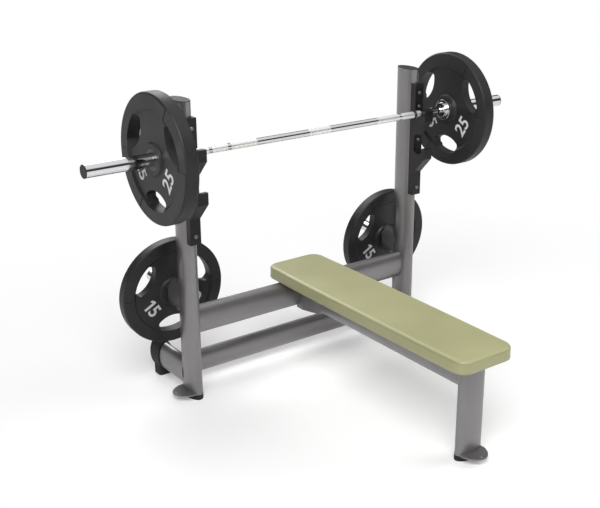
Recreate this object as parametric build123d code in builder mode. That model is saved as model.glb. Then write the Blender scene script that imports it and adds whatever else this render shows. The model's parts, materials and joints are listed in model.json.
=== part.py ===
from build123d import *
import os
from math import cos, radians, sin, tan

# Olympic bench press, millimetres. X runs along the barbell, Y from the foot of the bench
# to the rear of the rack, Z is up and the floor is Z = 0. The middle of the length is Y = 0.

os.makedirs("parts", exist_ok=True)

# ---------------------------------------------------------------- driving dimensions
overall_length = 1416.0        # front floor flange to the horn tips
rack_span = 1116.0             # between the centre lines of the two uprights
upright_height = 1220.0        # top of the upright caps
bar_height = 1040.0            # axis of the racked bar above the floor
bar_length = 2010.0
pad_top = 443.0

tube_long = 120.0              # main oval tube
tube_short = 60.0
brace_long = 100.0             # oval tube of the rear floor brace
brace_short = 50.0
wall = 3.0

beam_height = 327.0            # axis of the bench beam and of the upper cross tube
base_height = 93.0             # axis of the base tubes and of the rear floor brace
horn_reach = 409.0             # bar axis to the horn tips
upright_setback = 107.0        # bar axis to the upright centre line
brace_setback = 203.0          # bar axis to the rear floor brace
boot_setback = 398.0           # bar axis to the rear end of the boots

flange_reach = 88.0            # tube centre to the tip of a floor flange
flange_thick = 5.0
flange_top = 29.0
anchor_offset = 74.0
anchor_radius = 5.0
foot_height = 22.0
foot_lip = 1.5
plug_depth = 20.0
cap_thick = 3.0

pad_length = 1205.0
pad_width = 264.0              # at the ends
pad_bow = 5.0                  # extra half width at the middle
pad_thick = 52.0
pad_corner = 46.0
pad_edge = 9.0
board_thick = 12.0
board_inset = 9.0
bracket_width = 40.0
bracket_span = 200.0
bracket_rib = 5.0
screw_radius = 4.0

shaft_radius = 14.0
spigot_radius = 12.5
sleeve_radius = 25.0
sleeve_bore = 16.0
collar_radius = 43.0
collar_inner = 655.0           # inner face of each collar from the middle of the bar
collar_width = 30.0
sleeve_cap = 4.0
bushing_length = 40.0
ring_width = 2.0

hook_width = 46.0
hook_front = 30.0              # bar axis to the front face of the rail
hook_lip_out = 36.0            # bar axis to the outer face of the lip
hook_lip_in = 17.0
hook_lip_rise = 14.0           # lip top above the bar axis
hook_lip_drop = 32.0           # foot of the lip face below the bar axis
hook_slant = 104.0             # foot of the slanted underside below the bar axis
hook_pitch = 164.0
rail_above = 121.0             # top of the rail above the bar axis
rail_below = 371.0
rail_depth = 30.0
rail_screws = (82.0, 24.0, -122.0, -337.0)

horn_tilt = 4.7                # degrees above the horizontal
horn_seat = 222.0              # bar axis to the plate seat, along Y
horn_height = 415.0            # horn axis at the seat
horn_radius = 25.0
horn_wall = 3.5
stub_end = 6.0

hub_radius = 42.0
big_radius = 242.5
big_thick = 56.0
big_step = 186.0               # rim step radius
big_grip_in = 117.0
big_grip_out = 193.0
big_corner = 9.0
small_radius = 223.0
small_thick = 46.0
small_step = 176.0
small_grip_in = 106.0
small_grip_out = 174.0
small_corner = 7.0

# ---------------------------------------------------------------- named clearances
seat_gap = 0.3                 # between pieces that lift or slide apart
plate_gap = 0.4                # plate hubs round the sleeves and horns
run_gap = 0.05                 # sleeve bushings on the shaft spigots

# ---------------------------------------------------------------- derived places
front = -overall_length / 2
rear = overall_length / 2
half_span = rack_span / 2
bar_y = rear - horn_reach
upright_y = bar_y + upright_setback
brace_y = bar_y + brace_setback
boot_y = bar_y + boot_setback
leg_y = front + flange_reach
beam_top = beam_height + tube_long / 2
pad_base = pad_top - pad_thick
pad_front = front + 1.0
pad_middle = pad_front + pad_length / 2
bracket_thick = pad_base - beam_top
bracket_rear_y = bar_y - 85.0
bracket_front_y = leg_y + 95.0
flange_base = flange_top - flange_thick
upright_top = upright_height - cap_thick
half_long = tube_long / 2
half_short = tube_short / 2
horn_plane_y = bar_y + horn_seat
tilt_cos = cos(radians(horn_tilt))
tilt_sin = sin(radians(horn_tilt))
horn_length = (horn_reach - horn_seat - horn_radius * tilt_sin) / tilt_cos
sleeve_start = collar_inner + collar_width
sleeve_end = bar_length / 2 - sleeve_cap
spigot_start = collar_inner - 3.0
sides = (("left", -1), ("right", 1))


def finish(piece, name):
    """Label a finished piece and write it out."""
    piece.label = name
    export_step(piece, "parts/" + name + ".step")


def oval(place, flat, upright, hollow=0.0):
    """Oval section at a place; hollow gives the wall of a tube, zero gives the solid oval."""
    with Locations(place):
        Ellipse(flat, upright)
        if hollow:
            Ellipse(flat - hollow, upright - hollow, mode=Mode.SUBTRACT)


# ---------------------------------------------------------------- uprights, caps, feet
for side, sign in sides:
    x = sign * half_span

    with BuildPart() as upright:
        with BuildSketch(Plane.XY.offset(foot_height)):
            oval((x, upright_y), half_short, half_long, wall)
        extrude(amount=upright_top - foot_height)
        for rise in rail_screws:
            with Locations(Location((x, upright_y - half_long, bar_height + rise), (90, 0, 0))):
                Cylinder(screw_radius, 20, mode=Mode.SUBTRACT)
    finish(upright.part, "upright_" + side)

    with BuildPart() as cap:
        with BuildSketch(Plane.XY.offset(upright_top)):
            oval((x, upright_y), half_short, half_long)
        extrude(amount=cap_thick)
        fillet(cap.edges().group_by(Axis.Z)[-1], 1.5)
        with BuildSketch(Plane.XY.offset(upright_top - plug_depth)):
            oval((x, upright_y), half_short - wall, half_long - wall, 3.0)
        extrude(amount=plug_depth)
    finish(cap.part, "upright_cap_" + side)

    with BuildPart() as foot:
        with BuildSketch():
            oval((x, upright_y), half_short + foot_lip, half_long + foot_lip)
        extrude(amount=foot_height)
        fillet(foot.edges().group_by(Axis.Z)[0], 3.0)
        fillet(foot.edges().group_by(Axis.Z)[-1], 1.0)
        with BuildSketch(Plane.XY.offset(foot_height)):
            oval((x, upright_y), half_short - wall, half_long - wall)
        extrude(amount=plug_depth)
    finish(foot.part, "foot_plug_" + side)

    with BuildPart() as flange:
        with BuildSketch(Plane.XY.offset(flange_base)):
            with Locations((x, upright_y)):
                Ellipse(flange_reach, half_long)
            with Locations((x + sign * flange_reach / 2, upright_y)):
                Rectangle(flange_reach, 2 * half_long - 8, mode=Mode.INTERSECT)
        extrude(amount=flange_thick)
        with BuildSketch(Plane.XY.offset(flange_base)):
            oval((x, upright_y), half_short, half_long)
            with Locations((x + sign * anchor_offset, upright_y)):
                Circle(anchor_radius)
        extrude(amount=flange_thick, mode=Mode.SUBTRACT)
    finish(flange.part, "floor_flange_" + side)


# ---------------------------------------------------------------- cross tubes between the sides
with BuildPart() as upper_cross_tube:
    with BuildSketch(Plane.YZ.offset(-half_span)):
        oval((upright_y, beam_height), half_short, half_long, wall)
    extrude(amount=rack_span)
    with BuildSketch(Plane.XY.offset(beam_height - tube_long)):
        oval((-half_span, upright_y), half_short, half_long)
        oval((half_span, upright_y), half_short, half_long)
    extrude(amount=2 * tube_long, mode=Mode.SUBTRACT)
finish(upper_cross_tube.part, "upper_cross_tube")

with BuildPart() as rear_floor_brace:
    with BuildSketch(Plane.YZ.offset(-half_span)):
        oval((brace_y, base_height), brace_short / 2, brace_long / 2, wall)
    extrude(amount=rack_span)
    with BuildSketch(Plane.XZ.offset(-(brace_y + tube_long))):
        oval((-half_span, base_height), half_short, half_long)
        oval((half_span, base_height), half_short, half_long)
    extrude(amount=2 * tube_long, mode=Mode.SUBTRACT)
finish(rear_floor_brace.part, "rear_floor_brace")

# ---------------------------------------------------------------- base tubes and rear boots
boot_wall = 5.0
boot_length = 72.0
base_start = upright_y + half_long / 2
base_end = boot_y - boot_wall - 3.0

for side, sign in sides:
    x = sign * half_span

    with BuildPart() as base:
        with BuildSketch(Plane.XZ.offset(-base_start)):
            oval((x, base_height), half_short, half_long, wall)
        extrude(amount=base_start - base_end)
        with BuildSketch():
            oval((x, upright_y), half_short, half_long)
        extrude(amount=2 * tube_long, mode=Mode.SUBTRACT)
    finish(base.part, "base_tube_" + side)

    with BuildPart() as boot:
        with BuildSketch(Plane.XZ.offset(-(boot_y - boot_length))):
            oval((x, base_height), half_short + boot_wall, half_long + boot_wall)
        extrude(amount=-boot_length)
        fillet(boot.edges().group_by(Axis.Y)[-1], 4.0)
        with BuildSketch(Plane.XY):
            with Locations((x, boot_y - boot_length / 2 - 2)):
                RectangleRounded(tube_short - 8, boot_length - 16, 12)
        extrude(amount=base_height)
        fillet(boot.edges().group_by(Axis.Z)[0], 3.0)
        with BuildSketch(Plane.XZ.offset(-(boot_y - boot_length))):
            oval((x, base_height), half_short, half_long)
        extrude(amount=boot_y - boot_length - base_end, mode=Mode.SUBTRACT)
    finish(boot.part, "rear_boot_" + side)

# ---------------------------------------------------------------- front leg
with BuildPart() as front_leg:
    with BuildSketch(Plane.XY.offset(foot_height)):
        oval((0, leg_y), half_long, half_short, wall)
    extrude(amount=beam_top - cap_thick - foot_height)
finish(front_leg.part, "front_leg")

with BuildPart() as leg_top_cap:
    with BuildSketch(Plane.XY.offset(beam_top - cap_thick)):
        oval((0, leg_y), half_long, half_short)
    extrude(amount=cap_thick)
    fillet(leg_top_cap.edges().group_by(Axis.Z)[-1], 1.0)
    with BuildSketch(Plane.XY.offset(beam_top - cap_thick - plug_depth)):
        oval((0, leg_y), half_long - wall, half_short - wall, 3.0)
    extrude(amount=plug_depth)
finish(leg_top_cap.part, "leg_top_cap")

with BuildPart() as leg_foot_plug:
    with BuildSketch():
        oval((0, leg_y), half_long + foot_lip, half_short + foot_lip)
    extrude(amount=foot_height)
    fillet(leg_foot_plug.edges().group_by(Axis.Z)[0], 3.0)
    fillet(leg_foot_plug.edges().group_by(Axis.Z)[-1], 1.0)
    with BuildSketch(Plane.XY.offset(foot_height)):
        oval((0, leg_y), half_long - wall, half_short - wall)
    extrude(amount=plug_depth)
finish(leg_foot_plug.part, "leg_foot_plug")

with BuildPart() as leg_floor_flange:
    with BuildSketch(Plane.XY.offset(flange_base)):
        with Locations((0, leg_y)):
            Ellipse(half_long, flange_reach)
        with Locations((0, leg_y - flange_reach / 2)):
            Rectangle(2 * half_long - 8, flange_reach, mode=Mode.INTERSECT)
    extrude(amount=flange_thick)
    with BuildSketch(Plane.XY.offset(flange_base)):
        oval((0, leg_y), half_long, half_short)
        with Locations((0, leg_y - anchor_offset)):
            Circle(anchor_radius)
    extrude(amount=flange_thick, mode=Mode.SUBTRACT)
finish(leg_floor_flange.part, "leg_floor_flange")

# ---------------------------------------------------------------- bench beam and its saddle
beam_start = leg_y + 12.0
beam_end = upright_y - 12.0
saddle_half = 46.0
saddle_wall = 5.0
saddle_base = beam_height - half_long - saddle_wall
saddle_rise = 80.0
saddle_outline = (
    (half_short - 12, bar_y - 30.0),
    (saddle_half, bar_y + 52.0),
    (saddle_half, upright_y - 14.0),
)

with BuildPart() as bench_beam:
    with BuildSketch(Plane.XZ.offset(-beam_start)):
        oval((0, beam_height), half_short, half_long, wall)
    extrude(amount=beam_start - beam_end)
    with BuildSketch():
        oval((0, leg_y), half_long, half_short)
    extrude(amount=upright_height, mode=Mode.SUBTRACT)
    with BuildSketch(Plane.YZ.offset(-half_span)):
        oval((upright_y, beam_height), half_short, half_long)
    extrude(amount=rack_span, mode=Mode.SUBTRACT)
finish(bench_beam.part, "bench_beam")

saddle_points = list(saddle_outline) + [(-a, b) for a, b in reversed(saddle_outline)]

with BuildPart() as beam_saddle:
    with BuildSketch(Plane.XY.offset(saddle_base)):
        Polygon(*saddle_points, align=None)
    extrude(amount=saddle_rise)
    fillet(beam_saddle.edges().filter_by(Axis.Z).group_by(Axis.Y)[1], 20)
    with BuildSketch(Plane.XY.offset(saddle_base + saddle_wall)):
        Polygon(*saddle_points, align=None)
        offset(amount=-saddle_wall, mode=Mode.REPLACE)
    extrude(amount=saddle_rise, mode=Mode.SUBTRACT)
    with BuildSketch(Plane.XZ.offset(-beam_start)):
        oval((0, beam_height), half_short, half_long)
    extrude(amount=beam_start - beam_end, mode=Mode.SUBTRACT)
    with BuildSketch(Plane.YZ.offset(-half_span)):
        oval((upright_y, beam_height), half_short, half_long)
    extrude(amount=rack_span, mode=Mode.SUBTRACT)
finish(beam_saddle.part, "beam_saddle")

# ---------------------------------------------------------------- pad brackets
rib_pitch = 20.0
rib_top = 54.0                 # half width of a rib under the bracket plate
rib_foot = 42.0
rear_rib_drop = 64.0
front_rib_drop = 36.0
screw_x = 75.0
bracket_places = (("rear", bracket_rear_y, rear_rib_drop), ("front", bracket_front_y, front_rib_drop))

for label, y, rib_drop in bracket_places:
    with BuildPart() as bracket:
        with BuildSketch(Plane.XY.offset(beam_top)):
            with Locations((0, y)):
                RectangleRounded(bracket_span, bracket_width, 6)
            with Locations((-screw_x, y), (screw_x, y)):
                Circle(screw_radius, mode=Mode.SUBTRACT)
        extrude(amount=bracket_thick)
        for place in (y - rib_pitch / 2, y + rib_pitch / 2):
            with BuildSketch(Plane.XZ.offset(-(place - bracket_rib / 2))):
                rib_base = beam_top - rib_drop
                Polygon(
                    (-rib_top, beam_top), (-rib_foot, rib_base), (rib_foot, rib_base), (rib_top, beam_top),
                    align=None,
                )
            extrude(amount=-bracket_rib)
        with BuildSketch(Plane.XZ.offset(-(y - bracket_width))):
            oval((0, beam_height), half_short, half_long)
        extrude(amount=-2 * bracket_width, mode=Mode.SUBTRACT)
    finish(bracket.part, "pad_bracket_" + label)

# ---------------------------------------------------------------- bench pad, board and fixings
board_top = pad_base + board_thick
nut_flange = 1.5
nut_barrel = 5.5
nut_foot = pad_base + 2.0
screw_places = [(sx, y) for label, y, drop in bracket_places for sx in (-screw_x, screw_x)]
pad_half = pad_width / 2
board_width = pad_width - 2 * board_inset
board_length = pad_length - 2 * board_inset

with BuildPart() as pad_board:
    with BuildSketch(Plane.XY.offset(pad_base)):
        with Locations((0, pad_middle)):
            RectangleRounded(board_width, board_length, pad_corner - board_inset)
    extrude(amount=board_thick)
    with Locations(*[(a, b, board_top) for a, b in screw_places]):
        CounterBoreHole(radius=nut_barrel, counter_bore_radius=9.0, counter_bore_depth=nut_flange)
finish(pad_board.part, "pad_board")

with BuildPart() as bench_pad:
    with BuildSketch(Plane.XY.offset(pad_base)):
        with BuildLine():
            ThreePointArc(
                (pad_half, pad_front), (pad_half + pad_bow, pad_middle), (pad_half, pad_front + pad_length)
            )
            Line((pad_half, pad_front + pad_length), (-pad_half, pad_front + pad_length))
            ThreePointArc(
                (-pad_half, pad_front + pad_length), (-pad_half - pad_bow, pad_middle), (-pad_half, pad_front)
            )
            Line((-pad_half, pad_front), (pad_half, pad_front))
        make_face()
    extrude(amount=pad_thick)
    fillet(bench_pad.edges().filter_by(Axis.Z), pad_corner)
    fillet(bench_pad.edges().group_by(Axis.Z)[-1], pad_edge)
    fillet(bench_pad.edges().group_by(Axis.Z)[0], 4.0)
    with BuildSketch(Plane.XY.offset(pad_base)):
        with Locations((0, pad_middle)):
            RectangleRounded(board_width, board_length, pad_corner - board_inset)
    extrude(amount=board_thick, mode=Mode.SUBTRACT)
finish(bench_pad.part, "bench_pad")

with BuildPart() as pad_screws:
    for a, b in screw_places:
        with BuildSketch(Plane.XY.offset(beam_top)):
            with Locations((a, b)):
                RegularPolygon(7.5, 6)
        extrude(amount=-5.3)
        with BuildSketch(Plane.XY.offset(beam_top)):
            with Locations((a, b)):
                Circle(screw_radius)
        extrude(amount=board_top - 2.0 - beam_top)
finish(pad_screws.part, "pad_screws")

with BuildPart() as pad_tee_nuts:
    for a, b in screw_places:
        with BuildSketch(Plane.XY.offset(nut_foot)):
            with Locations((a, b)):
                Circle(nut_barrel)
        extrude(amount=board_top - nut_foot)
        with BuildSketch(Plane.XY.offset(board_top - nut_flange)):
            with Locations((a, b)):
                Circle(9.0)
        extrude(amount=nut_flange)
        with BuildSketch(Plane.XY.offset(nut_foot)):
            with Locations((a, b)):
                Circle(screw_radius)
        extrude(amount=board_thick, mode=Mode.SUBTRACT)
finish(pad_tee_nuts.part, "pad_tee_nuts")

# ---------------------------------------------------------------- hook rails and their screws
seat_drop = shaft_radius + seat_gap
rail_back = hook_front + rail_depth
screw_head = 8.0
screw_head_height = 4.5


def hook(drop):
    """Profile of one hook, measured from the bar axis, for an axis lowered by drop."""
    return [
        (hook_front, -drop - 4.0),
        (seat_drop - 1.0, -drop - seat_drop),
        (-9.0, -drop - seat_drop),
        (-hook_lip_in, -drop - 5.0),
        (-hook_lip_in, -drop + hook_lip_rise),
        (-hook_lip_out, -drop + hook_lip_rise),
        (-hook_lip_out, -drop - hook_lip_drop),
        (hook_front, -drop - hook_slant),
    ]


rail_profile = [(rail_back, rail_above), (hook_front, rail_above)]
rail_profile += hook(0.0) + hook(hook_pitch)
rail_profile += [(hook_front, -rail_below), (rail_back, -rail_below)]

for side, sign in sides:
    x = sign * half_span
    screw_spots = [Location((x, bar_y + hook_front, bar_height + rise), (90, 0, 0)) for rise in rail_screws]

    with BuildPart() as rail:
        with BuildSketch(Plane.YZ.offset(x - hook_width / 2)):
            Polygon(*[(bar_y + a, bar_height + b) for a, b in rail_profile], align=None)
        extrude(amount=hook_width)
        across = rail.edges().filter_by(Axis.X)
        fillet(across.filter_by_position(Axis.Y, bar_y - 60, bar_y + hook_front + 1), 2.0)
        chamfer(rail.edges().group_by(Axis.X)[0] + rail.edges().group_by(Axis.X)[-1], 0.8)
        with BuildSketch(Plane.XY):
            oval((x, upright_y), half_short, half_long)
        extrude(amount=upright_height, mode=Mode.SUBTRACT)
        with Locations(*screw_spots):
            Cylinder(screw_radius, 4 * rail_depth, mode=Mode.SUBTRACT)
    finish(rail.part, "hook_rail_" + side)

    with BuildPart() as screws:
        with Locations(*screw_spots):
            Cylinder(screw_head, screw_head_height, align=(Align.CENTER, Align.CENTER, Align.MIN))
        fillet(screws.edges().group_by(Axis.Y)[0], 2.5)
        with Locations(*screw_spots):
            Cylinder(screw_radius, rail_depth + 2, align=(Align.CENTER, Align.CENTER, Align.MAX))
        with BuildSketch(Plane.XZ.offset(-(bar_y + hook_front - screw_head_height))):
            with Locations(*[(x, bar_height + rise) for rise in rail_screws]):
                RegularPolygon(3.4, 6)
        extrude(amount=-2.8, mode=Mode.SUBTRACT)
    finish(screws.part, "hook_screws_" + side)

# ---------------------------------------------------------------- storage horns
horn_back = 50.0
horn_cap = 3.0
stub_length = (horn_plane_y - upright_y - half_long / 2) / tilt_cos

for side, sign in sides:
    x = sign * half_span
    seat = Plane(origin=(x, horn_plane_y, horn_height), x_dir=(-1, 0, 0), z_dir=(0, tilt_cos, tilt_sin))

    with BuildPart() as stub:
        with BuildSketch(seat):
            oval((0, 0), half_short, half_long, wall)
        extrude(amount=-stub_length)
        with BuildSketch(seat):
            oval((0, 0), half_short, half_long)
        extrude(amount=-stub_end)
        with BuildSketch(seat):
            Circle(horn_radius)
        extrude(amount=-stub_end, mode=Mode.SUBTRACT)
        with BuildSketch(Plane.XY):
            oval((x, upright_y), half_short, half_long)
        extrude(amount=upright_height, mode=Mode.SUBTRACT)
    finish(stub.part, "horn_stub_" + side)

    with BuildPart() as horn:
        with BuildSketch(seat.offset(-horn_back)):
            Circle(horn_radius)
            Circle(horn_radius - horn_wall, mode=Mode.SUBTRACT)
        extrude(amount=horn_back + horn_length - horn_cap)
    finish(horn.part, "horn_" + side)

    with BuildPart() as cap:
        with BuildSketch(seat.offset(horn_length - horn_cap)):
            Circle(horn_radius)
        extrude(amount=horn_cap)
        fillet(cap.edges().group_by(Axis.Y)[-1], 1.5)
        with BuildSketch(seat.offset(horn_length - horn_cap)):
            Circle(horn_radius - horn_wall)
        extrude(amount=-plug_depth)
    finish(cap.part, "horn_cap_" + side)

# ---------------------------------------------------------------- grip plates
web_sink_big = 8.0
web_sink_small = 7.0
grip_turns = (30.0, 150.0, 270.0)
relief_depth = 1.6
relief_slope = tan(radians(30))
grip_corner = 14.0
boss_width = 16.0
boss_slope = 6.0
step_slope = 9.0


def grip_plate(radius, thick, sink, step, grip_in, grip_out, corner):
    """Rubber body of a three-grip plate, bored for its hub, lying on its inner face."""
    half_grip = 0.485 * (grip_in + grip_out) / 2
    reach = 2 * radius
    half_reach = reach * relief_slope
    boss = hub_radius + boss_width
    boss_foot = boss + boss_slope
    with BuildPart() as body:
        with BuildSketch(Plane.XZ):
            with BuildLine():
                Polyline(
                    (hub_radius, 0), (boss, 0), (boss_foot, sink),
                    (step - step_slope, sink), (step, 0), (radius - corner, 0),
                )
                RadiusArc((radius - corner, 0), (radius, corner), -corner)
                Line((radius, corner), (radius, thick - corner))
                RadiusArc((radius, thick - corner), (radius - corner, thick), -corner)
                Polyline(
                    (radius - corner, thick), (step, thick), (step - step_slope, thick - sink),
                    (boss_foot, thick - sink), (boss, thick), (hub_radius, thick), (hub_radius, 0),
                )
            make_face()
        revolve(axis=Axis.Z)
        for turn in grip_turns:
            for face in (0, thick - relief_depth):
                with BuildSketch(Plane.XY.offset(face).rotated((0, 0, turn))):
                    Circle(radius + 1)
                    Circle(step, mode=Mode.SUBTRACT)
                    wedge = [(0, 0), (reach, -half_reach), (reach, half_reach)]
                    Polygon(*wedge, align=None, mode=Mode.INTERSECT)
                extrude(amount=relief_depth, mode=Mode.SUBTRACT)
        for turn in grip_turns:
            with BuildSketch(Plane.XY.rotated((0, 0, turn))):
                with BuildLine():
                    start = Vector(0.94 * grip_out, -0.335 * grip_out)
                    ThreePointArc(start, (grip_out, 0), (start.X, -start.Y))
                    Line((start.X, -start.Y), (grip_in + 0.4 * (grip_out - grip_in), half_grip))
                    ThreePointArc(
                        (grip_in + 0.4 * (grip_out - grip_in), half_grip), (grip_in, 0),
                        (grip_in + 0.4 * (grip_out - grip_in), -half_grip),
                    )
                    Line((grip_in + 0.4 * (grip_out - grip_in), -half_grip), start)
                grip = make_face()
                fillet(grip.vertices(), grip_corner)
            extrude(amount=thick, mode=Mode.SUBTRACT)
    return body.part


def hub_insert(thick, carrier_radius):
    """Steel ring moulded into the middle of a plate, bored for the sleeve or horn that carries it."""
    with BuildPart() as ring:
        Cylinder(hub_radius, thick, align=(Align.CENTER, Align.CENTER, Align.MIN))
        Hole(carrier_radius + plate_gap)
        chamfer(ring.edges(), 1.0)
    return ring.part


big_plate = grip_plate(
    big_radius, big_thick, web_sink_big, big_step, big_grip_in, big_grip_out, big_corner
)
small_plate = grip_plate(
    small_radius, small_thick, web_sink_small, small_step, small_grip_in, small_grip_out, small_corner
)
big_hub = hub_insert(big_thick, sleeve_radius)
small_hub = hub_insert(small_thick, horn_radius)

for side, sign in sides:
    sleeve_face = Plane(
        origin=(sign * (sleeve_start + seat_gap), bar_y, bar_height), x_dir=(0, sign, 0), z_dir=(sign, 0, 0)
    )
    horn_face = Plane(
        origin=(sign * half_span, horn_plane_y, horn_height), x_dir=(-1, 0, 0), z_dir=(0, tilt_cos, tilt_sin)
    ).offset(seat_gap)
    finish(sleeve_face.location * big_plate, "plate_25_" + side)
    finish(sleeve_face.location * big_hub, "plate_25_hub_" + side)
    finish(horn_face.location * small_plate, "plate_15_" + side)
    finish(horn_face.location * small_hub, "plate_15_hub_" + side)

# ---------------------------------------------------------------- barbell
spigot_end = bar_length / 2 - 13.0
ring_groove = 1.0
outer_bushing = spigot_end - ring_width - 4.0 - bushing_length - collar_inner
ring_start = outer_bushing + bushing_length + seat_gap
mark_places = (421.0, 504.0)
mark_width = 16.0
bar_plane = Plane(origin=(0, bar_y, bar_height), x_dir=(0, 1, 0), z_dir=(1, 0, 0))
along = (Align.CENTER, Align.CENTER, Align.MIN)

with BuildPart(bar_plane) as bar_shaft:
    Cylinder(shaft_radius, 2 * spigot_start)
    chamfer(bar_shaft.edges(), 0.8)
    Cylinder(spigot_radius, 2 * spigot_end)
    for place in mark_places:
        with Locations((0, 0, place), (0, 0, -place)):
            Cylinder(shaft_radius + 1, mark_width, mode=Mode.SUBTRACT)
            Cylinder(shaft_radius - 0.3, mark_width)
    for end in (collar_inner + ring_start + ring_width / 2, -collar_inner - ring_start - ring_width / 2):
        with Locations((0, 0, end)):
            Cylinder(spigot_radius + 1, ring_width, mode=Mode.SUBTRACT)
            Cylinder(spigot_radius - ring_groove, ring_width)
finish(bar_shaft.part, "bar_shaft")

for side, sign in sides:
    inboard = Plane(origin=(sign * collar_inner, bar_y, bar_height), x_dir=(0, sign, 0), z_dir=(sign, 0, 0))
    reach = sleeve_end - collar_inner

    with BuildPart(inboard) as sleeve:
        Cylinder(31.0, collar_width, align=along)
        with Locations((0, 0, 12.0)):
            Cylinder(collar_radius, collar_width - 12.0, align=along)
        fillet(sleeve.edges().filter_by(GeomType.CIRCLE), 1.5)
        Cylinder(sleeve_radius, reach, align=along)
        Cylinder(sleeve_bore, reach, align=along, mode=Mode.SUBTRACT)
    finish(sleeve.part, "sleeve_" + side)

    with BuildPart(inboard) as bushings:
        with Locations((0, 0, 2.0), (0, 0, outer_bushing)):
            Cylinder(sleeve_bore, bushing_length, align=along)
        Cylinder(spigot_radius + run_gap, reach, align=along, mode=Mode.SUBTRACT)
    finish(bushings.part, "sleeve_bushings_" + side)

    with BuildPart(inboard) as snap_ring:
        with Locations((0, 0, ring_start)):
            Cylinder(sleeve_bore - 0.6, ring_width, align=along)
        Cylinder(spigot_radius - ring_groove, reach, align=along, mode=Mode.SUBTRACT)
    finish(snap_ring.part, "snap_ring_" + side)

    with BuildPart(inboard) as end_cap:
        with Locations((0, 0, reach)):
            Cylinder(sleeve_radius, sleeve_cap, align=along)
        chamfer(end_cap.edges().filter_by(GeomType.CIRCLE), 1.0)
        with Locations((0, 0, reach - 6.0)):
            Cylinder(sleeve_bore, 6.5, align=along)
    finish(end_cap.part, "sleeve_cap_" + side)
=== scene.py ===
import json
import math

import bmesh
import bpy
from mathutils import Matrix, Vector


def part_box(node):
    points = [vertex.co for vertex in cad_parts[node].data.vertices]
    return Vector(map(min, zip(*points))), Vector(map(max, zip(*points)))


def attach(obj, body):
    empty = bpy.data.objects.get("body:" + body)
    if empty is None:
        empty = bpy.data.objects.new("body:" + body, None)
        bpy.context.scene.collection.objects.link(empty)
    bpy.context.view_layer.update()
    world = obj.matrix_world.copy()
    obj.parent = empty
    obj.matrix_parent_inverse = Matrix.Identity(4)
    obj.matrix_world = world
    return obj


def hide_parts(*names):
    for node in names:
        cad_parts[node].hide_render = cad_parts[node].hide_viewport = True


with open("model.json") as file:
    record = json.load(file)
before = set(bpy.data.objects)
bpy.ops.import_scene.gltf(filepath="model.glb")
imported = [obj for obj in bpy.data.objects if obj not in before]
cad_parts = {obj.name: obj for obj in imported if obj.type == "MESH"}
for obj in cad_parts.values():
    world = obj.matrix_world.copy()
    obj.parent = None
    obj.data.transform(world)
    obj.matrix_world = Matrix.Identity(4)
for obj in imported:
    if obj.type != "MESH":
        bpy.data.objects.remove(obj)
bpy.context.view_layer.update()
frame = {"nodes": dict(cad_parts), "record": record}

nodes = frame["nodes"]


# ---------------------------------------------------------------- camera and lamps
camera_place = (-2.4798, -3.0379, 2.0555)
camera_angles = (38.78, 20.95, 0.79)        # yaw to the right, pitch down, roll, in degrees
camera_lens = 64.12                         # on a 36 mm sensor
camera_shift = (-0.0939, 0.0215)


def rolled_camera():
    yaw, pitch, roll = (math.radians(angle) for angle in camera_angles)
    right = Vector((math.cos(yaw), -math.sin(yaw), 0.0))
    level = math.cos(pitch)
    forward = Vector((math.sin(yaw) * level, math.cos(yaw) * level, -math.sin(pitch)))
    up = right.cross(forward)
    rolled_right = right * math.cos(roll) + up * math.sin(roll)
    rolled_up = up * math.cos(roll) - right * math.sin(roll)
    turn = Matrix((rolled_right, rolled_up, -forward)).transposed()
    data = bpy.data.cameras.new("camera")
    data.sensor_width = 36.0
    data.lens = camera_lens
    data.shift_x, data.shift_y = camera_shift
    camera = bpy.data.objects.new("camera", data)
    camera.matrix_world = Matrix.Translation(camera_place) @ turn.to_4x4()
    bpy.context.scene.collection.objects.link(camera)
    bpy.context.scene.camera = camera


def area_light(name, place, target, size, watts, mirrored=True):
    """A round soft lamp. mirrored says whether polished metal shows it."""
    data = bpy.data.lights.new(name, "AREA")
    data.shape = "DISK"
    data.size = size
    data.energy = watts
    lamp = bpy.data.objects.new(name, data)
    lamp.location = place
    lamp.rotation_euler = (target - Vector(place)).to_track_quat("-Z", "Y").to_euler()
    lamp.visible_glossy = mirrored
    bpy.context.scene.collection.objects.link(lamp)


rolled_camera()
bpy.context.scene.view_settings.view_transform = "Standard"


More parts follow.
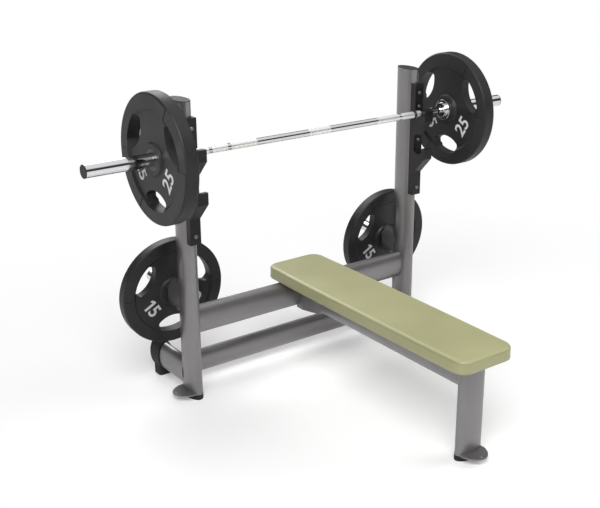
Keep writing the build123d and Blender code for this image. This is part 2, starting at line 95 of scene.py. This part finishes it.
# ---------------------------------------------------------------- material tools
class Nodes:
    """A short way to write a node tree."""

    def __init__(self, name):
        self.material = bpy.data.materials.new(name)
        self.material.use_nodes = True
        self.tree = self.material.node_tree
        self.shader = self.tree.nodes["Principled BSDF"]
        self.output = self.tree.nodes["Material Output"]

    def add(self, kind, values=None, **settings):
        node = self.tree.nodes.new(kind)
        for key, value in settings.items():
            setattr(node, key, value)
        for key, value in (values or {}).items():
            if isinstance(value, bpy.types.NodeSocket):
                self.tree.links.new(value, node.inputs[key])
            else:
                node.inputs[key].default_value = value
        return node

    def place(self):
        return self.add("ShaderNodeTexCoord").outputs["Object"]

    def stretched(self, scale):
        """The place, scaled by axis: small along the grain, large across it."""
        values = {"Vector": self.place(), "Scale": scale}
        return self.add("ShaderNodeMapping", values).outputs["Vector"]

    def noise(self, scale, detail=3.0, rough=0.5, at=None):
        values = {"Vector": at or self.place(), "Scale": scale,
                  "Detail": detail, "Roughness": rough}
        return self.add("ShaderNodeTexNoise", values).outputs["Fac"]

    def maths(self, operation, a, b=0.0):
        return self.add("ShaderNodeMath", {0: a, 1: b}, operation=operation).outputs[0]

    def spread(self, value, low, high, to_low=0.0, to_high=1.0):
        """value from low..high, spread over to_low..to_high."""
        values = {"Value": value, "From Min": low, "From Max": high,
                  "To Min": to_low, "To Max": to_high}
        return self.add("ShaderNodeMapRange", values).outputs["Result"]

    def mix(self, share, first, second):
        node = self.add("ShaderNodeMix", data_type="RGBA")
        for key, value in (("Factor", share), (6, first), (7, second)):
            socket = node.inputs[key]
            if isinstance(value, bpy.types.NodeSocket):
                self.tree.links.new(value, socket)
            else:
                socket.default_value = value
        return node.outputs[2]

    def axes(self):
        return self.add("ShaderNodeSeparateXYZ", {"Vector": self.place()}).outputs

    def bump(self, height, distance, strength=1.0, under=None):
        values = {"Height": height, "Distance": distance, "Strength": strength}
        if under is not None:
            values["Normal"] = under
        return self.add("ShaderNodeBump", values).outputs["Normal"]

    def set(self, **values):
        for key, value in values.items():
            socket = self.shader.inputs[key.replace("_", " ")]
            if isinstance(value, bpy.types.NodeSocket):
                self.tree.links.new(value, socket)
            else:
                socket.default_value = value
        return self.material

    def edges(self, radius):
        """1 on flat faces, falling to 0 at sharp edges."""
        bevel = self.add("ShaderNodeBevel", {"Radius": radius}, samples=4).outputs["Normal"]
        flat = self.add("ShaderNodeNewGeometry").outputs["Normal"]
        both = {0: bevel, 1: flat}
        return self.add("ShaderNodeVectorMath", both, operation="DOT_PRODUCT").outputs["Value"]


def grey(level):
    return (level, level, level, 1.0)


def painted_frame():
    """Satin metallic powder coat: fine flake, slow mottling and lighter worn edges."""
    n = Nodes("frame_paint")
    flake = n.noise(1900.0, 2.0)
    cloud = n.noise(7.0, 4.0)
    base = n.mix(n.spread(flake, 0.35, 0.65),
                 (0.200, 0.192, 0.197, 1.0), (0.300, 0.289, 0.295, 1.0))
    base = n.mix(n.spread(cloud, 0.3, 0.7, 0.0, 0.16), base, (0.165, 0.160, 0.164, 1.0))
    worn = n.spread(n.edges(0.0016), 0.965, 0.72, 0.0, 0.5)
    base = n.mix(worn, base, (0.400, 0.395, 0.400, 1.0))
    rough = n.spread(cloud, 0.25, 0.75, 0.33, 0.42)
    peel = n.bump(n.noise(420.0, 2.0), 0.00012, 0.6)
    return n.set(Base_Color=base, Metallic=0.75, Roughness=rough, Normal=peel)


def moulded_black(name, dark, light, grain, rough, depth):
    """Textured dark plastic or rubber, a little lighter along its edges."""
    n = Nodes(name)
    cloud = n.noise(11.0, 4.0)
    base = n.mix(n.spread(cloud, 0.3, 0.7), (*dark, 1.0), (*light, 1.0))
    worn = n.spread(n.edges(0.0014), 0.97, 0.75, 0.0, 0.35)
    base = n.mix(worn, base, (*(1.8 * c for c in light), 1.0))
    pits = n.bump(n.noise(grain, 3.0), depth, 0.7)
    dull = n.spread(cloud, 0.25, 0.75, rough - 0.05, rough + 0.06)
    return n.set(Base_Color=base, Roughness=dull, Normal=pits, Specular_IOR_Level=0.32)


def polished_chrome(name, scale):
    """Mirror chrome with faint wipe marks, drawn out along the axis whose scale is small."""
    n = Nodes(name)
    smear = n.noise(1.0, 4.0, 0.6, n.stretched(scale))
    base = n.mix(smear, (0.60, 0.60, 0.62, 1.0), (0.74, 0.74, 0.76, 1.0))
    rough = n.spread(smear, 0.25, 0.8, 0.05, 0.16)
    fine = n.bump(smear, 0.00005, 0.4)
    return n.set(Base_Color=base, Metallic=1.0, Roughness=rough, Normal=fine)


shaft_radius = 0.014
knurl_lines = 44                            # round the bar
knurled = ((-1.0, 0.052), (0.298, 0.413), (0.429, 0.496), (0.512, 0.535))   # from the middle out


def knurled_shaft():
    """Chrome bar with a diamond knurl on the grips and the middle, plain between them."""
    n = Nodes("bar_shaft")
    x, y, z = (n.axes()[k] for k in range(3))
    out = n.maths("ABSOLUTE", x)
    bar_low, bar_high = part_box("bar_shaft")
    axis_y, axis_z = (bar_low.y + bar_high.y) / 2, (bar_low.z + bar_high.z) / 2
    angle = n.maths("ARCTAN2", n.maths("SUBTRACT", z, axis_z), n.maths("SUBTRACT", y, axis_y))
    arc = n.maths("MULTIPLY", angle, shaft_radius)
    pitch = 2 * math.pi * shaft_radius / knurl_lines
    waves = []
    for sign in (1.0, -1.0):
        skew = n.maths("ADD", x, n.maths("MULTIPLY", arc, sign))
        turn = n.maths("MULTIPLY", skew, 2 * math.pi / pitch)
        waves.append(n.maths("ABSOLUTE", n.maths("SINE", n.maths("MULTIPLY", turn, 0.5))))
    diamonds = n.maths("MINIMUM", *waves)
    zones = 0.0
    for low, high in knurled:
        past, short = n.maths("GREATER_THAN", out, low), n.maths("LESS_THAN", out, high)
        zones = n.maths("ADD", zones, n.maths("MULTIPLY", past, short))
    height = n.maths("MULTIPLY", diamonds, zones)
    wipe = n.noise(1.0, 4.0, 0.6, n.stretched((9.0, 160.0, 160.0)))
    plain = n.mix(wipe, (0.58, 0.58, 0.60, 1.0), (0.70, 0.70, 0.72, 1.0))
    # painted shade: the knurl is painted darker in its grooves than on its tops
    knurl_with_groove_shade = n.mix(diamonds, (0.86, 0.86, 0.88, 1.0), (0.98, 0.98, 0.99, 1.0))
    base = n.mix(zones, plain, knurl_with_groove_shade)
    rough = n.maths("ADD", n.maths("MULTIPLY", zones, 0.42), 0.06)
    relief = n.bump(height, 0.0002, 0.15)
    return n.set(Base_Color=base, Metallic=1.0, Roughness=rough, Normal=relief)


def turned_steel(name, tint, rough):
    """Machined metal with fine tool marks and slow dulling."""
    n = Nodes(name)
    marks = n.noise(900.0, 2.0)
    cloud = n.noise(30.0, 4.0)
    base = n.mix(cloud, (*tint, 1.0), tuple(min(1.0, c * 1.35) for c in tint) + (1.0,))
    dull = n.spread(cloud, 0.2, 0.8, rough - 0.06, rough + 0.08)
    return n.set(Base_Color=base, Metallic=1.0, Roughness=dull, Normal=n.bump(marks, 0.00006, 0.5))


def plywood():
    """Black-stained plywood: grain along the board and darker glue lines through its edge."""
    n = Nodes("pad_board")
    grain = n.noise(1.0, 5.0, 0.6, n.stretched((90.0, 6.0, 90.0)))
    base = n.mix(grain, (0.020, 0.018, 0.015, 1.0), (0.050, 0.044, 0.036, 1.0))
    ply = n.maths("FRACT", n.maths("MULTIPLY", n.axes()[2], 500.0))
    base = n.mix(n.maths("LESS_THAN", ply, 0.16), base, (0.010, 0.009, 0.008, 1.0))
    return n.set(Base_Color=base, Roughness=0.68, Normal=n.bump(grain, 0.0002, 0.5))


def pad_vinyl():
    """Olive upholstery vinyl: fine pebble grain, slow mottling and painted shade in the grain's
    pits.
    """
    n = Nodes("pad_cover")
    cells = {"Vector": n.place(), "Scale": 620.0}
    pebble = n.add("ShaderNodeTexVoronoi", cells, feature="SMOOTH_F1").outputs["Distance"]
    cloud = n.noise(5.0, 4.0)
    base = n.mix(n.spread(cloud, 0.3, 0.7),
                 (0.385, 0.380, 0.200, 1.0), (0.430, 0.424, 0.230, 1.0))
    # painted shade: darker in the pits of the pebble grain
    base = n.mix(n.spread(pebble, 0.0, 0.6, 0.25, 0.0), base, (0.30, 0.295, 0.145, 1.0))
    leather = n.bump(pebble, 0.00018, 0.6)
    leather = n.bump(n.noise(38.0, 3.0), 0.0006, 0.25, leather)
    return n.set(Base_Color=base, Roughness=n.spread(cloud, 0.3, 0.7, 0.36, 0.46), Normal=leather,
                 Sheen_Weight=0.06, Sheen_Roughness=0.5, Coat_Weight=0.06, Coat_Roughness=0.35)


# name, darker and lighter colour, grain scale, roughness, depth of the grain
blacks = {
    "black_cap": ((0.022, 0.022, 0.022), (0.032, 0.032, 0.032), 700.0, 0.56, 0.0001),
    "foot_rubber": ((0.010, 0.010, 0.010), (0.018, 0.018, 0.018), 500.0, 0.62, 0.0002),
    "hook_plastic": ((0.007, 0.007, 0.008), (0.013, 0.013, 0.014), 800.0, 0.44, 0.0001),
    "plate_rubber": ((0.014, 0.014, 0.015), (0.021, 0.021, 0.022), 520.0, 0.47, 0.00018),
}
# name, colour, roughness
metals = {
    "black_screws": ((0.20, 0.20, 0.21), 0.34),
    "hub_steel": ((0.050, 0.050, 0.053), 0.34),
    "zinc_steel": ((0.52, 0.52, 0.54), 0.34),
    "bushing_bronze": ((0.50, 0.33, 0.15), 0.36),
}
cover = pad_vinyl()
by_slot = {"frame_paint": painted_frame(), "pad_board": plywood(), "pad_cover": cover,
           "chrome": polished_chrome("chrome_sleeve", (3.0, 140.0, 140.0))}
by_slot.update((name, moulded_black(name, *values)) for name, values in blacks.items())
by_slot.update((name, turned_steel(name, *values)) for name, values in metals.items())
horn_chrome = polished_chrome("chrome_horn", (140.0, 3.0, 140.0))
by_name = {"bar_shaft": knurled_shaft(), "horn_left": horn_chrome, "horn_right": horn_chrome}
for row in frame["record"]["subparts"]:
    name = row["node"]
    nodes[name].data.materials.clear()
    nodes[name].data.materials.append(by_name.get(name) or by_slot[row["material_slot"]])


# ---------------------------------------------------------------- bench pad
pad_corner = 0.052              # radius of the pad's corners, seen from above
pad_bow = 0.005                 # how far the long sides bow out between the corners
corner_steps = 14
side_step = 0.02                # longest step along a straight side
pad_shrink = 0.0042             # the form starts this much inside the CAD pad, then swells
top_drop = 0.0035               # and this much below its top
edge_round = 0.005              # radius of the top edge before the swelling
edge_steps = 6
bottom_edge = ((0.001, -0.0004), (-0.002, 0.004))       # further inset, height
side_rows = (0.015, 0.026, 0.034)

voxel_size = 0.005
pinned_height = 0.010           # the base that the board holds flat
cloth_pressure = 4.0
cloth_frames = 20
cloth_cap = 0.005               # no point is moved further by the simulation
edge_swell = 0.0040             # the sewn edge is held, and swells evenly
crown_rise = 0.0014             # further rise of the top, from the edge to the middle
crown_width = 0.12
cloth_share = 0.5               # how far the middle follows the simulated cover
cloth_start, cloth_width = 0.025, 0.050     # where that share starts, and how slowly it grows
base_fade = 0.020               # the base doesn't rise, and the sides do so over this height

seam_drop = 0.0085              # below the CAD pad's top
seam_radius = 0.0006
seam_proud = 0.25               # its middle stands this share of its radius off the cover
seam_start = 0.02               # the seam is looked for from this far outside
seam_end = 0.05                 # nearer than this to a short side, it is looked for slantwise
seam_reach = 0.08


def clamp(value):
    return max(0.0, min(1.0, value))


def new_object(name, mesh, look, body):
    piece = bpy.data.objects.new(name, mesh)
    bpy.context.scene.collection.objects.link(piece)
    mesh.materials.clear()
    mesh.materials.append(look)
    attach(piece, body)
    return piece


def pad_outline(inset):
    """Points round the pad, inset from the CAD outline, anticlockwise."""
    low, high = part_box("bench_pad")
    mid_y = (low.y + high.y) / 2
    half_x, half_y = high.x - pad_bow, (high.y - low.y) / 2
    points = []
    for cx, cy, start in ((1, -1, -90), (1, 1, 0), (-1, 1, 90), (-1, -1, 180)):
        for k in range(corner_steps + 1):
            turn = math.radians(start + 90.0 * k / corner_steps)
            x = cx * (half_x - pad_corner) + (pad_corner - inset) * math.cos(turn)
            y = cy * (half_y - pad_corner) + (pad_corner - inset) * math.sin(turn)
            points.append((x, mid_y + y))
    dense = []
    for a, b in zip(points, points[1:] + points[:1]):
        steps = max(1, int(math.dist(a, b) / side_step))
        dense += [tuple(a[i] + (b[i] - a[i]) * s / steps for i in (0, 1)) for s in range(steps)]
    out = []
    for x, y in dense:
        bow = pad_bow * max(0.0, 1.0 - ((y - mid_y) / half_y) ** 2)
        at_side = min(1.0, abs(x) / (half_x * 0.8))
        out.append((x + math.copysign(bow, x) * at_side, y))
    return out


def loft(rings):
    """A closed mesh over rings of equal point counts, capped at both ends."""
    shape = bmesh.new()
    rows = [[shape.verts.new(p) for p in ring] for ring in rings]
    for a, b in zip(rows, rows[1:]):
        for k in range(len(a)):
            j = (k + 1) % len(a)
            shape.faces.new((a[k], a[j], b[j], b[k]))
    caps = [shape.faces.new(list(reversed(rows[0]))), shape.faces.new(rows[-1])]
    bmesh.ops.triangulate(shape, faces=caps)
    bmesh.ops.recalc_face_normals(shape, faces=shape.faces)
    mesh = bpy.data.meshes.new("pad")
    shape.to_mesh(mesh)
    shape.free()
    return mesh


def pad_profile():
    """(inset, height) from the underside edge up over the rounded top edge."""
    low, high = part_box("bench_pad")
    rows = [(pad_shrink + inset, low.z + rise) for inset, rise in bottom_edge]
    rows += [(pad_shrink, low.z + rise) for rise in side_rows]
    for k in range(edge_steps + 1):
        turn = math.radians(90.0 * k / edge_steps)
        inset = pad_shrink + edge_round * (1 - math.cos(turn))
        rows.append((inset, high.z - top_drop - edge_round * (1 - math.sin(turn))))
    return rows


def apply_all(piece):
    """Apply every modifier, so that none is left on the piece."""
    graph = bpy.context.evaluated_depsgraph_get()
    mesh = bpy.data.meshes.new_from_object(piece.evaluated_get(graph))
    old = piece.data
    piece.modifiers.clear()
    piece.data = mesh
    bpy.data.meshes.remove(old)


def puff(piece):
    """Foam under its cover: the edge swells evenly, the top also follows a cloth simulation."""
    voxel = piece.modifiers.new("voxels", "REMESH")
    voxel.mode = "VOXEL"
    voxel.voxel_size = voxel_size
    apply_all(piece)
    low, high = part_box("bench_pad")
    rest = [v.co.copy() for v in piece.data.vertices]
    outward = [v.normal.copy() for v in piece.data.vertices]
    pinned = [v.index for v in piece.data.vertices if v.co.z < low.z + pinned_height]
    piece.vertex_groups.new(name="base").add(pinned, 1.0, "REPLACE")
    cloth = piece.modifiers.new("cloth", "CLOTH")
    cloth.settings.use_pressure = True
    cloth.settings.uniform_pressure_force = cloth_pressure
    cloth.settings.effector_weights.gravity = 0.0
    cloth.settings.vertex_group_mass = "base"
    cloth.settings.quality = 5
    cloth.point_cache.frame_start = 1
    cloth.point_cache.frame_end = cloth_frames
    for step in range(1, cloth_frames + 1):
        bpy.context.scene.frame_set(step)
    apply_all(piece)
    mid = (low + high) / 2
    for vertex, old, normal in zip(piece.data.vertices, rest, outward):
        move = vertex.co - old
        if move.length > cloth_cap:
            move *= cloth_cap / move.length
        rise = clamp((old.z - low.z) / base_fade)
        inward = min(high.x - abs(old.x), (high.y - low.y) / 2 - abs(old.y - mid.y))
        share = clamp((inward - cloth_start) / cloth_width)
        follow = cloth_share * share * share * (3 - 2 * share)
        arch = 1 - (1 - clamp(inward / crown_width)) ** 2
        held = normal * (edge_swell + crown_rise * arch * max(0.0, normal.z))
        move = move * follow + held * (1 - follow)
        vertex.co = old + Vector((move.x, move.y, move.z * rise))
    bpy.context.scene.frame_set(1)


def seam_ring(name):
    """A fine raised seam round the pad at one height, found on the swollen surface."""
    low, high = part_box("bench_pad")
    mid = (low + high) / 2
    shape = pad.evaluated_get(bpy.context.evaluated_depsgraph_get())
    points = []
    for x, y in pad_outline(-seam_start):
        if abs(y - mid.y) < high.y - mid.y - seam_end:
            aim = Vector((mid.x - x, 0, 0))
        else:
            deep_x = math.copysign(max(0.0, abs(x) - seam_reach), x)
            deep_y = mid.y + math.copysign(abs(y - mid.y) - seam_reach, y - mid.y)
            aim = Vector((deep_x - x, deep_y - y, 0))
        start = Vector((x, y, high.z - seam_drop))
        hit, place, normal, _ = shape.ray_cast(start, aim.normalized())
        if hit:
            points.append(place + normal * seam_radius * seam_proud)
    curve = bpy.data.curves.new(name, "CURVE")
    curve.dimensions = "3D"
    curve.bevel_depth = seam_radius
    curve.bevel_resolution = 3
    line = curve.splines.new("POLY")
    line.points.add(len(points) - 1)
    for target, point in zip(line.points, points):
        target.co = (*point, 1.0)
    line.use_cyclic_u = True
    piece = bpy.data.objects.new(name, curve)
    bpy.context.scene.collection.objects.link(piece)
    return piece


rings = [[(x, y, z) for x, y in pad_outline(inset)] for inset, z in pad_profile()]
pad = new_object("bench_pad_cover", loft(rings), cover, "rack")
puff(pad)
smooth = pad.modifiers.new("smooth", "SMOOTH")
smooth.factor = 0.5
smooth.iterations = 2
rounder = pad.modifiers.new("rounder", "SUBSURF")
rounder.levels = 1
rounder.render_levels = 1
apply_all(pad)
for face in pad.data.polygons:
    face.use_smooth = True
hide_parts("bench_pad")

# a raised seam whose thread is painted darker than the cover: painted shade for the dark line
# along the pad's top edge
n = Nodes("seam_thread_edge_shade")
dim = n.noise(300.0)
thread_and_edge_shade = n.mix(dim, (0.200, 0.200, 0.100, 1.0), (0.250, 0.250, 0.130, 1.0))
seam_look = n.set(Base_Color=thread_and_edge_shade, Roughness=0.6)
seam = seam_ring("bench_pad_seam")
seam.data.materials.append(seam_look)
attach(seam, "rack")


# ---------------------------------------------------------------- numbers on the plates
figure_rise = 0.0004            # half of a figure's thickness
figure_gap = 0.0003             # from the plate's face to the middle of that thickness
font_scale = 1.39               # font size over the height of its figures
font_swell = 0.0013             # makes the font as bold as the plates' figures
horn_tilt = math.radians(4.7)
number_angles = (210.0, 330.0)  # round the plate, seen from the front of its face
big_height, big_radius, big_depth = 0.060, 0.118, 0.008         # depth of the face in the plate
small_height, small_radius, small_depth = 0.056, 0.112, 0.007
small_half = 0.023              # half of the stored plate's width
# the corners of the 1, and how far it and the next digit move apart, in shares of the height
flagged_one = ((0.06, -0.5), (0.06, 0.5), (-0.08, 0.5), (-0.34, 0.35), (-0.34, 0.17),
               (-0.13, 0.28), (-0.13, -0.5))
one_shift, digit_shift = -0.24, 0.30


def number_look(name, level):
    n = Nodes(name)
    chalk = n.noise(260.0, 4.0)
    base = n.mix(n.spread(chalk, 0.3, 0.7), grey(level * 0.86), grey(level))
    return n.set(Base_Color=base, Roughness=0.48, Normal=n.bump(n.noise(500.0), 0.0001, 0.4))


def glyph_mesh(name, text, height):
    """Flat raised figures: font outlines, with a drawn 1 that has a flag."""
    curve = bpy.data.curves.new(name, "FONT")
    curve.body = text.lstrip("1")
    curve.align_x = "CENTER"
    curve.align_y = "CENTER"
    curve.size = height * font_scale
    curve.offset = font_swell
    curve.extrude = figure_rise
    lettering = bpy.data.objects.new(name + "_text", curve)
    bpy.context.scene.collection.objects.link(lettering)
    bpy.context.view_layer.update()
    graph = bpy.context.evaluated_depsgraph_get()
    mesh = bpy.data.meshes.new_from_object(lettering.evaluated_get(graph))
    bpy.data.objects.remove(lettering)
    if not text.startswith("1"):
        return mesh
    shape = bmesh.new()
    shape.from_mesh(mesh)
    bmesh.ops.translate(shape, verts=shape.verts, vec=(digit_shift * height, 0, 0))
    corners = [((x + one_shift) * height, y * height) for x, y in flagged_one]
    tops = [shape.verts.new((x, y, figure_rise)) for x, y in corners]
    feet = [shape.verts.new((x, y, -figure_rise)) for x, y in corners]
    faces = [shape.faces.new(tops), shape.faces.new(list(reversed(feet)))]
    for k in range(len(corners)):
        j = (k + 1) % len(corners)
        faces.append(shape.faces.new((feet[k], feet[j], tops[j], tops[k])))
    bmesh.ops.recalc_face_normals(shape, faces=faces)
    bmesh.ops.triangulate(shape, faces=faces[:2])
    shape.to_mesh(mesh)
    shape.free()
    return mesh


def plate_number(name, text, height, look, body, centre, out, radius, angle):
    """text on the plate face at centre that looks along out, with its top towards the centre."""
    mesh = glyph_mesh(name, text, height)
    up = (Vector((0, 0, 1)) - out * out.z).normalized()
    right = up.cross(out)
    turn = math.radians(angle)
    spoke = right * math.cos(turn) + up * math.sin(turn)
    top = -spoke
    side = top.cross(out)
    frame_turn = Matrix((side, top, out)).transposed().to_4x4()
    mesh.transform(Matrix.Translation(centre + spoke * radius) @ frame_turn)
    piece = new_object(name, mesh, look, body)


white = number_look("number_white", 0.86)
pale = number_look("number_pale", 0.62)
for side in ("left", "right"):
    low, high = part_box("plate_25_" + side)
    hub_low, hub_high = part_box("plate_15_hub_" + side)
    horn_axis = Vector((0, math.cos(horn_tilt), math.sin(horn_tilt)))
    kinds = (
        ("25", "bar_plate_", white, big_height, big_radius,
         (low + high) / 2, Vector((1, 0, 0)), (high.x - low.x) / 2 - big_depth),
        ("15", "stored_plate_", pale, small_height, small_radius,
         (hub_low + hub_high) / 2, horn_axis, small_half - small_depth),
    )
    for text, body, look, height, radius, middle, axis, face_out in kinds:
        for face, letter in ((1.0, "a"), (-1.0, "b")):
            centre = middle + axis * (face * (face_out + figure_gap))
            for angle in number_angles:
                plate_number(f"number_{text}_{side}_{letter}{int(angle)}", text, height, look,
                             body + side, centre, axis * face, radius, angle)


# ---------------------------------------------------------------- floor, background, lights
fill_strength = 0.5             # what the world gives the object
wall_strength = 0.05            # what polished metal sees in the dark band
# height of a ray's direction, share of the dark wall seen there
wall_band = ((0.0, 0.0), (0.06, 1.0), (0.50, 1.0), (0.68, 0.0))
floor_lift = 0.27               # raises the floor to white without lighting the object
white_from, white_past = 0.9, 2.6           # the floor fades to plain white between these
floor_size = 60.0


def math_node(tree, operation, first, second):
    node = tree.nodes.new("ShaderNodeMath")
    node.operation = operation
    tree.links.new(first, node.inputs[0])
    tree.links.new(second, node.inputs[1])
    return node.outputs[0]


def ray_seen(tree, *kinds):
    """1 for the named kinds of ray."""
    path = tree.nodes.new("ShaderNodeLightPath")
    seen = path.outputs[kinds[0]]
    for kind in kinds[1:]:
        seen = math_node(tree, "MAXIMUM", seen, path.outputs[kind])
    return seen


def background(tree, strength):
    node = tree.nodes.new("ShaderNodeBackground")
    node.inputs["Color"].default_value = grey(1.0)
    node.inputs["Strength"].default_value = strength
    return node.outputs[0]


def blend_shaders(tree, share, first, second):
    node = tree.nodes.new("ShaderNodeMixShader")
    for socket, value in zip(node.inputs, (share, first, second)):
        tree.links.new(value, socket)
    return node.outputs[0]


world = bpy.data.worlds.new("studio")
bpy.context.scene.world = world
world.use_nodes = True
tree = world.node_tree
soft_fill = tree.nodes["Background"]
soft_fill.inputs["Strength"].default_value = fill_strength
in_view = ray_seen(tree, "Is Camera Ray", "Is Glossy Ray", "Is Transmission Ray")
mixed = blend_shaders(tree, in_view, soft_fill.outputs[0], background(tree, 1.0))

# metal also reflects the dark side walls of the studio, in a soft band above the horizon
direction = tree.nodes.new("ShaderNodeTexCoord").outputs["Generated"]
rise = tree.nodes.new("ShaderNodeSeparateXYZ")
tree.links.new(direction, rise.inputs[0])
band = tree.nodes.new("ShaderNodeValToRGB")
stops = band.color_ramp.elements
for stop, (position, level) in zip(list(stops), wall_band[:2]):
    stop.position = position
    stop.color = grey(level)
for position, level in wall_band[2:]:
    stops.new(position).color = grey(level)
tree.links.new(rise.outputs[2], band.inputs[0])
share = math_node(tree, "MULTIPLY", band.outputs[0], ray_seen(tree, "Is Glossy Ray"))
banded = blend_shaders(tree, share, mixed, background(tree, wall_strength))
tree.links.new(banded, tree.nodes["World Output"].inputs["Surface"])

n = Nodes("floor")
mottle = n.noise(2.0, 3.0)
floor_look = n.set(Base_Color=n.mix(mottle, grey(0.79), grey(0.81)), Roughness=0.85,
                   Specular_IOR_Level=0.15)
away = n.add("ShaderNodeVectorMath", {0: n.place()}, operation="LENGTH").outputs["Value"]
glow_share = n.spread(away, white_from, white_past)
seen = ray_seen(n.tree, "Is Camera Ray", "Is Glossy Ray", "Is Transmission Ray")
glow = n.add("ShaderNodeEmission", {"Color": grey(1.0), "Strength": 1.0}).outputs[0]
faint = n.maths("MULTIPLY", seen, floor_lift)
lift = n.add("ShaderNodeEmission", {"Color": grey(1.0), "Strength": faint}).outputs[0]
near = n.add("ShaderNodeAddShader", {0: n.shader.outputs[0], 1: lift}).outputs[0]
join = blend_shaders(n.tree, n.maths("MULTIPLY", glow_share, seen), near, glow)
n.tree.links.new(join, n.output.inputs["Surface"])
bpy.ops.mesh.primitive_plane_add(size=floor_size, location=(0, 0, 0))
floor = bpy.context.object
floor.name = "floor"
floor.data.materials.append(floor_look)

middle = Vector((0.0, 0.0, 0.5))
area_light("key", (-2.2, -2.6, 4.2), middle, 3.2, 230.0)
area_light("fill", (3.6, -1.8, 3.0), middle, 3.0, 90.0, mirrored=False)
area_light("back", (0.6, 4.2, 3.4), middle, 3.0, 110.0)
